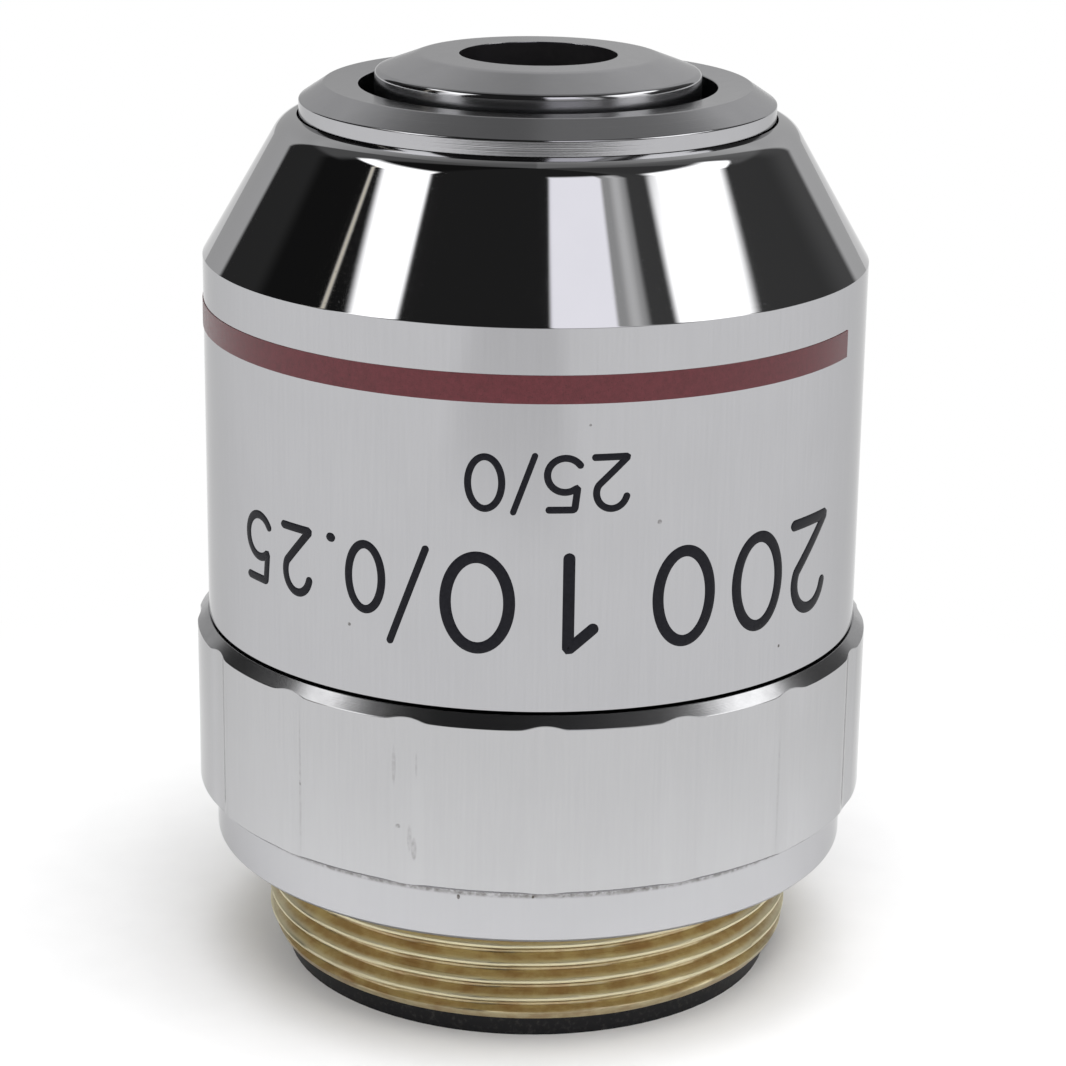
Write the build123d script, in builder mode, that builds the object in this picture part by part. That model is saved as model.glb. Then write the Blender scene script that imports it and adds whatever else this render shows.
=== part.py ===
from build123d import *
import os
from math import copysign, sqrt
from types import SimpleNamespace

# Low-power microscope objective with a long working distance, in millimetres.
# The optical axis is +Z. z = 0 is the rear face of the black light stop behind the thread,
# which the objective stands on, and the front, which faces the specimen, is at the top.
os.makedirs("parts", exist_ok=True)

# Clearances
slide_clearance = 0.05  # radial, between turned pieces that screw or slide together
seat_clearance = 0.02  # axial, between a lens surface and the rim that holds it
cement_layer = 0.02  # between the two glasses of a doublet
sleeve_gap = 0.10  # the dark line between the grip ring and the sleeve
neck_clearance = 0.20  # radial, between the barrel's neck and the nose cap
flange_gap = 0.07  # radial, between the nose cap's rim and the sleeve's mouth
thread_end_gap = 0.10  # axial, beyond the end of the nose cap's thread
boss_gap = 0.59  # radial, the groove between the boss and the nose cap

# Rear light stop
stop_inset = 0.74  # from the thread's crest in to the stop's edge
stop_height = 0.88
stop_wall = 1.55
stop_rim_width = 1.82
stop_mouth_depth = 0.60
stop_spigot_length = 1.80
stop_slot_width = 1.20
stop_slot_depth = 0.50

# Mount body: objective thread, seating collar, seat of the grip ring and front spigot
thread_radius = 10.16
thread_length = 4.07
thread_lead = 0.20
thread_wall = 1.96
collar_width = 1.99  # from the thread's crest out to the collar's edge
collar_height = 2.17
collar_edge = 0.15
seat_relief_width = 0.25
seat_relief_depth = 0.05
seat_rise = 1.25
ring_seat_width = 0.50
spigot_wall = 0.85
lock_recess = 0.40

# Grip ring
grip_overhang = 0.66  # beyond the collar
grip_step = 0.45  # beyond the sleeve
grip_height = 6.62
grip_chamfer = 0.41
grip_edge = 0.12
flute_count = 16
flute_depth = 0.115
flute_cutter = 2.35
flute_angle = 2.6

# Outer sleeve
sleeve_wall = 1.21
sleeve_seat = 0.25
cone_height = 5.12
mouth_rounding = 1.14
mouth_rim = 0.518  # from the mouth out to the cone's front edge, before rounding
cavity_ledge = 0.55
cap_thread_length = 1.50
mouth_depth = 0.76

# Colour band
band_drop = 1.63
band_width = 0.99
band_film = 0.03
band_end_angle = 65.0
band_open_angle = 30.0

# Nose cap
nose_rise = 2.09
rim_sink = 0.08
rim_height = 0.635
rim_overhang = 0.14
cap_wall = 1.10
cap_shoulder = 0.24
cap_top_slope_width = 0.92
cap_top_slope_height = 0.615
cap_roof = 1.60
cap_dish = 0.06

# Front cell
front_cell_wall = 1.90
boss_setback = 0.15
skirt_length = 3.00
cell_flange = 0.90
boss_rim_rise = 3.70
boss_top_rise = 0.60
boss_land_width = 1.51
boss_rounding = 1.00
aperture_taper = 0.41
lens_seat_width = 0.90
front_lens_drop = 1.12

# Inner barrel
barrel_wall = 1.10
barrel_flange_length = 10.50
barrel_recess = 0.40
neck_length = 5.18
neck_wall = 0.90
taper_start = 0.80
taper_length = 2.40

# Shim and lock ring
shim_thickness = 0.30
lock_width = 0.80
lock_length = 1.60

# Lens cells, spacers and stop
collector_wall = 1.30
rear_wall = 1.40
middle_wall = 2.20
cell_recess = 0.12
cell_lip = 0.60
lip_width = 0.60
retainer_length = 0.90
barrel_retainer_length = 1.30
barrel_retainer_width = 1.25
spacer_wall = 1.05
rear_spacer_length = 0.80
front_spacer_length = 2.60
stop_thickness = 0.40
stop_width = 3.05
spanner_slot_width = 1.00
spanner_slot_depth = 0.45

# Lenses: radii of curvature (positive bulges outwards), and thicknesses, at the edge of a lens that
# bulges on both sides and on the axis of a hollow one
front_lens_radius = 4.20
front_lens_thickness = 3.40
front_lens_front_curve = -14.0
front_lens_bevel = 0.70
front_lens_rear_curve = 9.5
middle_front_curve = 16.0
middle_crown_edge = 0.424
middle_cement_curve = 12.0
middle_flint_thickness = 1.20
middle_rear_curve = 40.0
rear_front_curve = 30.0
rear_crown_edge = 0.703
rear_cement_curve = 16.0
rear_flint_thickness = 1.30
rear_rear_curve = 50.0
collector_front_curve = 26.0
collector_edge = 1.761
collector_rear_curve = 34.0


def sag(curve, radius):
    """How far a spherical surface falls away from its vertex at a radius."""
    return copysign(abs(curve) - sqrt(curve**2 - radius**2), curve)


def bulged(edge, front_curve, rear_curve, radius):
    """Thickness on the axis of a lens that bulges on both sides of its edge."""
    return edge + sag(front_curve, radius) + sag(rear_curve, radius)


def cell_places(rear, wall, front_curve, thickness, rear_curve):
    """Heights and radii in one lens cell, from its rear face up."""
    bore = cell_radius - wall
    lip_radius = bore - slide_clearance - lip_width
    retainer_rear = rear + cell_recess
    retainer_front = retainer_rear + retainer_length
    rear_vertex = retainer_front + seat_clearance - sag(rear_curve, lip_radius)
    front_vertex = rear_vertex + thickness
    lip = front_vertex - sag(front_curve, lip_radius) + seat_clearance
    return SimpleNamespace(
        rear=rear,
        bore=bore,
        lip_radius=lip_radius,
        retainer_rear=retainer_rear,
        retainer_front=retainer_front,
        rear_vertex=rear_vertex,
        front_vertex=front_vertex,
        lip=lip,
        front=lip + cell_lip,
    )


# Radii, from the standard thread out to the grip ring, and from there in to the lens cells
stop_radius = thread_radius - stop_inset
stop_mouth = stop_radius - stop_rim_width
rear_bore = thread_radius - thread_wall
collar_radius = thread_radius + collar_width
grip_radius = collar_radius + grip_overhang
sleeve_radius = grip_radius - grip_step
sleeve_bore = sleeve_radius - sleeve_wall
spigot_radius = sleeve_bore - slide_clearance
sleeve_cavity = spigot_radius - sleeve_seat
ring_bore = spigot_radius + ring_seat_width + slide_clearance
mount_bore = spigot_radius - spigot_wall
barrel_flange_radius = mount_bore - slide_clearance
barrel_radius = barrel_flange_radius - lock_width
lock_bore = barrel_radius + slide_clearance
barrel_bore = barrel_radius - barrel_wall
cell_radius = barrel_bore - slide_clearance
collector_radius = cell_radius - collector_wall - slide_clearance
rear_radius = cell_radius - rear_wall - slide_clearance
middle_radius = cell_radius - middle_wall - slide_clearance

# Radii at the nose, from the front lens out to the mouth and the cone's front edge
front_lens_clear = front_lens_radius - front_lens_bevel
lens_shoulder = front_lens_radius - lens_seat_width
front_aperture = lens_shoulder - aperture_taper
boss_land = front_aperture + boss_land_width
cell_bore = front_lens_radius + slide_clearance
skirt_radius = cell_bore + front_cell_wall
neck_bore = skirt_radius + slide_clearance
neck_radius = neck_bore + neck_wall
boss_radius = skirt_radius - boss_setback
cap_hole = boss_radius + boss_gap
cap_bore = neck_radius + neck_clearance
cap_thread_radius = cap_bore + cap_wall
cap_neck = cap_thread_radius + cap_shoulder
rim_radius = cap_neck + rim_overhang
mouth_radius = rim_radius + flange_gap
cone_front_radius = mouth_radius + mouth_rim

# Heights, from the rear face up
thread_rear = stop_height
shoulder = thread_rear + thread_length
ring_rear = shoulder + collar_height
ring_front = ring_rear + grip_height
sleeve_rear = ring_front + sleeve_gap
shim_rear = shoulder + seat_rise
barrel_rear = shim_rear + shim_thickness
lock_rear = barrel_rear + barrel_flange_length
lock_front = lock_rear + lock_length
spigot_front = lock_front + lock_recess
barrel_retainer_rear = barrel_rear + barrel_recess

collector = cell_places(
    barrel_retainer_rear + barrel_retainer_length,
    collector_wall,
    collector_front_curve,
    bulged(collector_edge, collector_front_curve, collector_rear_curve, collector_radius),
    collector_rear_curve,
)
rear_thickness = bulged(rear_crown_edge, rear_front_curve, rear_cement_curve, rear_radius)
rear_group = cell_places(
    collector.front + rear_spacer_length,
    rear_wall,
    rear_front_curve,
    rear_thickness + cement_layer + rear_flint_thickness,
    rear_rear_curve,
)
front_spacer_front = rear_group.front + front_spacer_length
middle_thickness = bulged(middle_crown_edge, middle_front_curve, middle_cement_curve, middle_radius)
middle_group = cell_places(
    front_spacer_front + stop_thickness,
    middle_wall,
    middle_front_curve,
    middle_thickness + cement_layer + middle_flint_thickness,
    middle_rear_curve,
)
barrel_shoulder = middle_group.front
taper_rear = barrel_shoulder + taper_start
barrel_front = barrel_shoulder + neck_length
mouth = barrel_front + nose_rise
cone_rear = mouth - cone_height
band_front = cone_rear - band_drop
band_rear = band_front - band_width
rim_rear = mouth - rim_sink
rim_front = rim_rear + rim_height
cap_thread_front = mouth - mouth_depth
cap_rear = cap_thread_front - cap_thread_length
cavity_front = cap_rear - thread_end_gap
cap_front = rim_front + cap_top_slope_height
cell_flange_front = barrel_front + cell_flange
boss_rim = barrel_front + boss_rim_rise
front_face = boss_rim + boss_top_rise
front_lens_seat = front_face - front_lens_drop


def turned(*outline, mode=Mode.ADD):
    """Turn an outline of (radius, height) points round the optical axis."""
    with BuildSketch(Plane.XZ) as section:
        with BuildLine():
            Polyline(*outline, close=True)
        make_face()
    revolve(section.sketch, axis=Axis.Z, mode=mode)


def spanner_slots(reach, floor, width, depth):
    """Cut the two slots that a spanner turns a ring by, across its rear face."""
    with Locations((0, 0, floor)):
        Box(2 * reach, width, depth, align=(Align.CENTER, Align.CENTER, Align.MIN), mode=Mode.SUBTRACT)


def glass_surface(vertex, curve, radius):
    """Half of a spherical surface, from its vertex out. It rises with a positive curve."""
    return ThreePointArc(
        (0, vertex),
        (radius / 2, vertex + sag(curve, radius / 2)),
        (radius, vertex + sag(curve, radius)),
    )


def glass(radius, front, front_curve, rear, rear_curve):
    """A lens between two spherical surfaces, with a ground cylindrical edge."""
    with BuildSketch(Plane.XZ) as section:
        with BuildLine():
            upper = glass_surface(front, -front_curve, radius)
            lower = glass_surface(rear, rear_curve, radius)
            Line(upper @ 1, lower @ 1)
            Line(lower @ 0, upper @ 0)
        make_face()
    revolve(section.sketch, axis=Axis.Z)


def lens_cell(places):
    """A brass cell whose front lip stops the lens."""
    turned(
        (places.bore, places.rear),
        (cell_radius, places.rear),
        (cell_radius, places.front),
        (places.lip_radius, places.front),
        (places.lip_radius, places.lip),
        (places.bore, places.lip),
    )


def lens_retainer(places):
    """The slotted ring that screws into a cell behind its lens."""
    outer = places.bore - slide_clearance
    turned(
        (places.lip_radius, places.retainer_rear),
        (outer, places.retainer_rear),
        (outer, places.retainer_front),
        (places.lip_radius, places.retainer_front),
    )
    spanner_slots(outer, places.retainer_rear, spanner_slot_width, spanner_slot_depth)


# Black light stop, screwed into the rear of the mount body. Its mouth is bevelled.
stop_spigot = rear_bore - slide_clearance
stop_aperture = stop_spigot - stop_wall
with BuildPart() as rear_stop:
    turned(
        (stop_mouth, 0),
        (stop_radius, 0),
        (stop_radius, thread_rear),
        (stop_spigot, thread_rear),
        (stop_spigot, thread_rear + stop_spigot_length),
        (stop_aperture, thread_rear + stop_spigot_length),
        (stop_aperture, stop_mouth_depth),
    )
    spanner_slots(stop_radius, 0, stop_slot_width, stop_slot_depth)
rear_stop.part.label = "rear_stop"
export_step(rear_stop.part, "parts/rear_stop.step")

# Mount body, one brass turning: objective thread, collar, seat of the grip ring and front spigot.
# The bore holds the barrel on its inner shoulder. A shallow recess clears the corner of the seat.
seat_corner = thread_radius + seat_relief_width
with BuildPart() as mount_body:
    turned(
        (rear_bore, thread_rear),
        (thread_radius - thread_lead, thread_rear),
        (thread_radius, thread_rear + thread_lead),
        (thread_radius, shoulder + seat_relief_depth),
        (seat_corner, shoulder + seat_relief_depth),
        (seat_corner, shoulder),
        (collar_radius - collar_edge, shoulder),
        (collar_radius, shoulder + collar_edge),
        (collar_radius, ring_rear),
        (ring_bore - slide_clearance, ring_rear),
        (ring_bore - slide_clearance, ring_front),
        (spigot_radius, ring_front),
        (spigot_radius, spigot_front),
        (mount_bore, spigot_front),
        (mount_bore, shim_rear),
        (rear_bore, shim_rear),
    )
mount_body.part.label = "mount_body"
export_step(mount_body.part, "parts/mount_body.step")

# Grip ring on the collar, with a bright chamfer and shallow flutes along its whole length.
flute_centres = grip_radius + flute_cutter - flute_depth
with BuildPart() as grip_ring:
    with BuildSketch(Plane.XY.offset(ring_rear)):
        Circle(grip_radius)
        Circle(ring_bore, mode=Mode.SUBTRACT)
    extrude(amount=grip_height)
    chamfer(grip_ring.edges().group_by(Axis.Z)[-1].sort_by(SortBy.RADIUS)[-1], grip_chamfer)
    chamfer(grip_ring.edges().group_by(Axis.Z)[0].sort_by(SortBy.RADIUS)[-1], grip_edge)
    with BuildSketch(Plane.XY.offset(ring_rear)):
        with PolarLocations(flute_centres, flute_count, start_angle=flute_angle - 90):
            Circle(flute_cutter)
    extrude(amount=grip_height, mode=Mode.SUBTRACT)
grip_ring.part.label = "grip_ring"
export_step(grip_ring.part, "parts/grip_ring.step")

# Outer sleeve, one turning: straight part that carries the marking, and polished cone.
# Inside it seats on the mount body's spigot and narrows with the barrel, and its front bore takes
# the nose cap.
cap_thread_bore = cap_thread_radius + slide_clearance
cavity_front_radius = cap_thread_bore - cavity_ledge
with BuildPart() as outer_sleeve:
    turned(
        (0, sleeve_rear),
        (sleeve_radius, sleeve_rear),
        (sleeve_radius, cone_rear),
        (cone_front_radius, mouth),
        (0, mouth),
    )
    fillet(outer_sleeve.edges().group_by(Axis.Z)[-1], mouth_rounding)
    turned(
        (0, sleeve_rear),
        (sleeve_bore, sleeve_rear),
        (sleeve_bore, spigot_front),
        (sleeve_cavity, spigot_front),
        (sleeve_cavity, taper_rear),
        (cavity_front_radius, cavity_front),
        (cap_thread_bore, cavity_front),
        (cap_thread_bore, cap_thread_front),
        (mouth_radius, cap_thread_front),
        (mouth_radius, mouth),
        (0, mouth),
        mode=Mode.SUBTRACT,
    )
outer_sleeve.part.label = "outer_sleeve"
export_step(outer_sleeve.part, "parts/outer_sleeve.step")

# Dark red band, printed on the sleeve. It is open for a twelfth of a turn, where the print ends.
band_start_angle = band_end_angle + band_open_angle
band_plane = Plane(
    origin=(0, 0, 0),
    x_dir=Vector(0, -1, 0).rotate(Axis.Z, band_start_angle),
    z_dir=Vector(-1, 0, 0).rotate(Axis.Z, band_start_angle),
)
with BuildPart() as colour_band:
    with BuildSketch(band_plane):
        with Locations((sleeve_radius, band_rear)):
            Rectangle(band_film, band_width, align=Align.MIN)
    revolve(axis=Axis.Z, revolution_arc=360 - band_open_angle)
colour_band.part.label = "colour_band"
export_step(colour_band.part, "parts/colour_band.step")

# Nose cap, screwed into the sleeve's front bore until its shoulder seats on the step below the
# mouth. Its rim overhangs the neck, and the top slopes up to a slightly dished face.
with BuildPart() as nose_cap:
    turned(
        (cap_bore, cap_rear),
        (cap_thread_radius, cap_rear),
        (cap_thread_radius, cap_thread_front),
        (cap_neck, cap_thread_front),
        (cap_neck, rim_rear),
        (rim_radius, rim_rear),
        (rim_radius, rim_front),
        (rim_radius - cap_top_slope_width, cap_front),
        (cap_hole, cap_front - cap_dish),
        (cap_hole, cap_front - cap_roof),
        (cap_bore, cap_front - cap_roof),
    )
nose_cap.part.label = "nose_cap"
export_step(nose_cap.part, "parts/nose_cap.step")

# Front cell: a skirt in the barrel's neck, a flange on the neck's end face, and the boss.
with BuildPart() as front_cell:
    turned(
        (0, barrel_front - skirt_length),
        (skirt_radius, barrel_front - skirt_length),
        (skirt_radius, barrel_front),
        (neck_radius, barrel_front),
        (neck_radius, cell_flange_front),
        (boss_radius, cell_flange_front),
        (boss_radius, boss_rim),
        (boss_land, front_face),
        (0, front_face),
    )
    fillet(front_cell.edges().group_by(Axis.Z)[-1], boss_rounding)
    turned(
        (0, barrel_front - skirt_length),
        (cell_bore, barrel_front - skirt_length),
        (cell_bore, front_lens_seat),
        (lens_shoulder, front_lens_seat),
        (front_aperture, front_face),
        (0, front_face),
        mode=Mode.SUBTRACT,
    )
front_cell.part.label = "front_cell"
export_step(front_cell.part, "parts/front_cell.step")

# Front meniscus. A flat bevel round its hollow front surface seats on the cell's shoulder.
front_lens_vertex = front_lens_seat + sag(front_lens_front_curve, front_lens_clear)
front_lens_rear = front_lens_vertex - front_lens_thickness
with BuildPart() as front_lens:
    with BuildSketch(Plane.XZ):
        with BuildLine():
            hollow = glass_surface(front_lens_vertex, -front_lens_front_curve, front_lens_clear)
            bulge = glass_surface(front_lens_rear, front_lens_rear_curve, front_lens_radius)
            Polyline(hollow @ 1, (front_lens_radius, front_lens_seat), bulge @ 1)
            Line(bulge @ 0, hollow @ 0)
        make_face()
    revolve(axis=Axis.Z)
front_lens.part.label = "front_lens"
export_step(front_lens.part, "parts/front_lens.step")

# Slotted ring behind the front lens.
front_retainer_bore = front_lens_radius - lip_width
front_retainer_front = front_lens_rear + sag(front_lens_rear_curve, front_retainer_bore) - seat_clearance
front_retainer_rear = front_retainer_front - retainer_length
with BuildPart() as front_retainer:
    turned(
        (front_retainer_bore, front_retainer_rear),
        (front_lens_radius, front_retainer_rear),
        (front_lens_radius, front_retainer_front),
        (front_retainer_bore, front_retainer_front),
    )
    spanner_slots(front_lens_radius, front_retainer_rear, spanner_slot_width, spanner_slot_depth)
front_retainer.part.label = "front_retainer"
export_step(front_retainer.part, "parts/front_retainer.step")

# Inner barrel: a wide rear part that the lock ring clamps, a bore for the stack of cells up to
# its shoulder, a taper, and a neck that carries the front cell.
with BuildPart() as inner_barrel:
    turned(
        (barrel_bore, barrel_rear),
        (barrel_flange_radius, barrel_rear),
        (barrel_flange_radius, lock_rear),
        (barrel_radius, lock_rear),
        (barrel_radius, taper_rear),
        (neck_radius, taper_rear + taper_length),
        (neck_radius, barrel_front),
        (neck_bore, barrel_front),
        (neck_bore, barrel_shoulder),
        (barrel_bore, barrel_shoulder),
    )
inner_barrel.part.label = "inner_barrel"
export_step(inner_barrel.part, "parts/inner_barrel.step")

# Shim that sets the focus height, under the barrel on the mount body's shoulder.
with BuildPart() as parfocal_shim:
    with BuildSketch(Plane.XY.offset(shim_rear)):
        Circle(barrel_flange_radius)
        Circle(barrel_bore + slide_clearance, mode=Mode.SUBTRACT)
    extrude(amount=shim_thickness)
parfocal_shim.part.label = "parfocal_shim"
export_step(parfocal_shim.part, "parts/parfocal_shim.step")

# Lock ring that clamps the barrel. Its slots are in its front face.
with BuildPart() as lock_ring:
    with BuildSketch(Plane.XY.offset(lock_rear)):
        Circle(barrel_flange_radius)
        Circle(lock_bore, mode=Mode.SUBTRACT)
    extrude(amount=lock_length)
    slot_floor = lock_front - spanner_slot_depth
    spanner_slots(barrel_flange_radius, slot_floor, spanner_slot_width, spanner_slot_depth)
lock_ring.part.label = "lock_ring"
export_step(lock_ring.part, "parts/lock_ring.step")

# Collector, the lens nearest the thread, in its cell.
with BuildPart() as collector_cell:
    lens_cell(collector)
collector_cell.part.label = "collector_cell"
export_step(collector_cell.part, "parts/collector_cell.step")

with BuildPart() as collector_lens:
    glass(
        collector_radius,
        collector.front_vertex,
        collector_front_curve,
        collector.rear_vertex,
        collector_rear_curve,
    )
collector_lens.part.label = "collector_lens"
export_step(collector_lens.part, "parts/collector_lens.step")

with BuildPart() as collector_retainer:
    lens_retainer(collector)
collector_retainer.part.label = "collector_retainer"
export_step(collector_retainer.part, "parts/collector_retainer.step")

# Rear cemented doublet in its cell. The flint is behind the crown.
rear_flint_vertex = rear_group.rear_vertex + rear_flint_thickness
rear_crown_vertex = rear_flint_vertex + cement_layer
with BuildPart() as rear_cell:
    lens_cell(rear_group)
rear_cell.part.label = "rear_cell"
export_step(rear_cell.part, "parts/rear_cell.step")

with BuildPart() as rear_crown:
    glass(rear_radius, rear_group.front_vertex, rear_front_curve, rear_crown_vertex, rear_cement_curve)
rear_crown.part.label = "rear_crown"
export_step(rear_crown.part, "parts/rear_crown.step")

with BuildPart() as rear_flint:
    glass(rear_radius, rear_flint_vertex, -rear_cement_curve, rear_group.rear_vertex, rear_rear_curve)
rear_flint.part.label = "rear_flint"
export_step(rear_flint.part, "parts/rear_flint.step")

with BuildPart() as rear_cell_retainer:
    lens_retainer(rear_group)
rear_cell_retainer.part.label = "rear_cell_retainer"
export_step(rear_cell_retainer.part, "parts/rear_cell_retainer.step")

# Middle cemented doublet in its cell, against the barrel's shoulder.
middle_flint_vertex = middle_group.rear_vertex + middle_flint_thickness
middle_crown_vertex = middle_flint_vertex + cement_layer
with BuildPart() as middle_cell:
    lens_cell(middle_group)
middle_cell.part.label = "middle_cell"
export_step(middle_cell.part, "parts/middle_cell.step")

with BuildPart() as middle_crown:
    glass(
        middle_radius,
        middle_group.front_vertex,
        middle_front_curve,
        middle_crown_vertex,
        middle_cement_curve,
    )
middle_crown.part.label = "middle_crown"
export_step(middle_crown.part, "parts/middle_crown.step")

with BuildPart() as middle_flint:
    glass(
        middle_radius,
        middle_flint_vertex,
        -middle_cement_curve,
        middle_group.rear_vertex,
        middle_rear_curve,
    )
middle_flint.part.label = "middle_flint"
export_step(middle_flint.part, "parts/middle_flint.step")

with BuildPart() as middle_retainer:
    lens_retainer(middle_group)
middle_retainer.part.label = "middle_retainer"
export_step(middle_retainer.part, "parts/middle_retainer.step")

# Spacers between the cells.
with BuildPart() as rear_spacer:
    with BuildSketch(Plane.XY.offset(collector.front)):
        Circle(cell_radius)
        Circle(cell_radius - spacer_wall, mode=Mode.SUBTRACT)
    extrude(amount=rear_spacer_length)
rear_spacer.part.label = "rear_spacer"
export_step(rear_spacer.part, "parts/rear_spacer.step")

with BuildPart() as front_spacer:
    with BuildSketch(Plane.XY.offset(rear_group.front)):
        Circle(cell_radius)
        Circle(cell_radius - spacer_wall, mode=Mode.SUBTRACT)
    extrude(amount=front_spacer_length)
front_spacer.part.label = "front_spacer"
export_step(front_spacer.part, "parts/front_spacer.step")

# Black disc with the aperture stop's hole, between the front spacer and the middle cell.
with BuildPart() as aperture_stop:
    with BuildSketch(Plane.XY.offset(front_spacer_front)):
        Circle(cell_radius)
        Circle(cell_radius - stop_width, mode=Mode.SUBTRACT)
    extrude(amount=stop_thickness)
aperture_stop.part.label = "aperture_stop"
export_step(aperture_stop.part, "parts/aperture_stop.step")

# Slotted ring that closes the stack of cells at the barrel's rear.
with BuildPart() as barrel_retainer:
    with BuildSketch(Plane.XY.offset(barrel_retainer_rear)):
        Circle(cell_radius)
        Circle(cell_radius - barrel_retainer_width, mode=Mode.SUBTRACT)
    extrude(amount=barrel_retainer_length)
    spanner_slots(cell_radius, barrel_retainer_rear, spanner_slot_width, spanner_slot_depth)
barrel_retainer.part.label = "barrel_retainer"
export_step(barrel_retainer.part, "parts/barrel_retainer.step")

print(f"shoulder {shoulder:.2f}, sleeve {sleeve_rear:.2f} to {mouth:.2f}, front face {front_face:.2f}")
print(f"sleeve radius {sleeve_radius:.2f}, grip radius {grip_radius:.2f}, rim radius {rim_radius:.2f}")
print(f"barrel {barrel_rear:.2f} to {barrel_front:.2f}, boss radius {boss_radius:.2f}, hole {cap_hole:.2f}")
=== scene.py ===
# A low-power microscope objective, standing on its thread as on a bench. Lengths are in millimetres
# until a piece is made, and the optical axis is +Z.
from math import cos, hypot, pi, radians, sin, sqrt, tan

import bpy
from mathutils import Matrix, Vector


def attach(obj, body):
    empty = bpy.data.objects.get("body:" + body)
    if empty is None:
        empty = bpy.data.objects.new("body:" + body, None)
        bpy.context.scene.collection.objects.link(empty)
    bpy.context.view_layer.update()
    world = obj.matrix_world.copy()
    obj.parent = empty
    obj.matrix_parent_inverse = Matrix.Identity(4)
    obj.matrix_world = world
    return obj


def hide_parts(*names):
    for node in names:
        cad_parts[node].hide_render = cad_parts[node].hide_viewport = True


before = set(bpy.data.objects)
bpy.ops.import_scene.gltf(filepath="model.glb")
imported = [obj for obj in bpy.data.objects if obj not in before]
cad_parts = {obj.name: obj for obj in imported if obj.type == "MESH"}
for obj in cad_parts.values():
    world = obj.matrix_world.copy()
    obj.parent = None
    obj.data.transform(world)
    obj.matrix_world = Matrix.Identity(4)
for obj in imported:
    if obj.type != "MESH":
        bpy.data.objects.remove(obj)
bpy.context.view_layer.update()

# Mount body. One brass turning that carries everything else: the objective thread stays bare brass, and the
# collar, the seat of the grip ring and the spigot above it are plated with satin chrome.
thread_crest, thread_pitch, thread_start = 10.16, 0.7056, -0.18
thread_from, thread_to = 0.88, 4.60
thread_slope_height = 0.9605 * thread_pitch
thread_depth = thread_slope_height * 2 / 3
thread_ease = 0.03
rows_per_turn = 16
lead_drop, lead_slope = 0.30, 0.5
collar_radius, shoulder, collar_top = 12.15, 4.95, 7.12


class Tone:
    """A value that varies over a surface. Sums on it add Math nodes."""

    def __init__(self, finish, socket):
        self.finish = finish
        self.socket = socket

    def __add__(self, other):
        return self.finish.maths("ADD", self, other)

    def __radd__(self, other):
        return self.finish.maths("ADD", other, self)

    def __sub__(self, other):
        return self.finish.maths("SUBTRACT", self, other)

    def __rsub__(self, other):
        return self.finish.maths("SUBTRACT", other, self)

    def __mul__(self, other):
        return self.finish.maths("MULTIPLY", self, other)

    def __rmul__(self, other):
        return self.finish.maths("MULTIPLY", other, self)

    def __truediv__(self, other):
        return self.finish.maths("DIVIDE", self, other)

    def __pow__(self, other):
        return self.finish.maths("POWER", self, other)

    def __gt__(self, other):
        return self.finish.maths("GREATER_THAN", self, other)


class Finish:
    """A surface finish: a node tree that is filled by calls, with the place on the object in millimetres."""

    def __init__(self, name, tree=None):
        if tree is None:
            self.material = bpy.data.materials.new(name)
            self.material.use_nodes = True
            tree = self.material.node_tree
        self.tree = tree
        tree.nodes.clear()

    def node(self, kind, settings=None, inputs=None, output=0):
        """Any node: its settings first, then the values or links of its sockets."""
        made = self.tree.nodes.new(kind)
        for key, value in (settings or {}).items():
            setattr(made, key, value)
        for key, value in (inputs or {}).items():
            if isinstance(value, Tone):
                self.tree.links.new(value.socket, made.inputs[key])
            else:
                made.inputs[key].default_value = value
        return Tone(self, made.outputs[output]) if made.outputs else None

    def maths(self, operation, a, b=0.0):
        return self.node("ShaderNodeMath", {"operation": operation}, {0: a, 1: b})

    def mix(self, share, low, high):
        """From one colour to another."""
        return self.node("ShaderNodeMix", {"data_type": "RGBA"}, {0: share, 6: low, 7: high}, 2)

    def step(self, value, low, high):
        """0 below low, 1 above high, and a smooth rise between them."""
        return self.node(
            "ShaderNodeMapRange", {"interpolation_type": "SMOOTHSTEP"}, {0: value, 1: low, 2: high}
        )

    def place(self):
        """x, y and z on the object, in millimetres."""
        spot = self.node("ShaderNodeTexCoord", output=3)
        split = self.node("ShaderNodeSeparateXYZ", inputs={0: spot})
        outputs = split.socket.node.outputs
        return tuple(Tone(self, outputs[i]) * 1000.0 for i in range(3))

    def noise(self, x, y, z, detail=2.0, roughness=0.5):
        spot = self.node("ShaderNodeCombineXYZ", inputs={0: x, 1: y, 2: z})
        return self.node(
            "ShaderNodeTexNoise",
            inputs={"Vector": spot, "Scale": 1.0, "Detail": detail, "Roughness": roughness},
        )

    def mark(self, place, radius, turn, height, width, length):
        """A soft-edged mark, 1 inside and 0 outside, centred on a point of a turned face. Its turn is in
        degrees from the front to the right, and its sizes are in millimetres."""
        x, y, z = place
        across = (x - radius * sin(radians(turn))) ** 2 + (y + radius * cos(radians(turn))) ** 2
        up = (z - height) ** 2
        return 1 - self.step(across / (width / 2) ** 2 + up / (length / 2) ** 2, 0.5, 1.3)

    def bump(self, height, strength, distance_mm):
        return self.node(
            "ShaderNodeBump", inputs={"Height": height, "Strength": strength, "Distance": distance_mm / 1000}
        )

    def surface(self, sockets):
        shader = self.node("ShaderNodeBsdfPrincipled", inputs=sockets)
        self.node("ShaderNodeOutputMaterial", inputs={0: shader})
        return self.material


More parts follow.
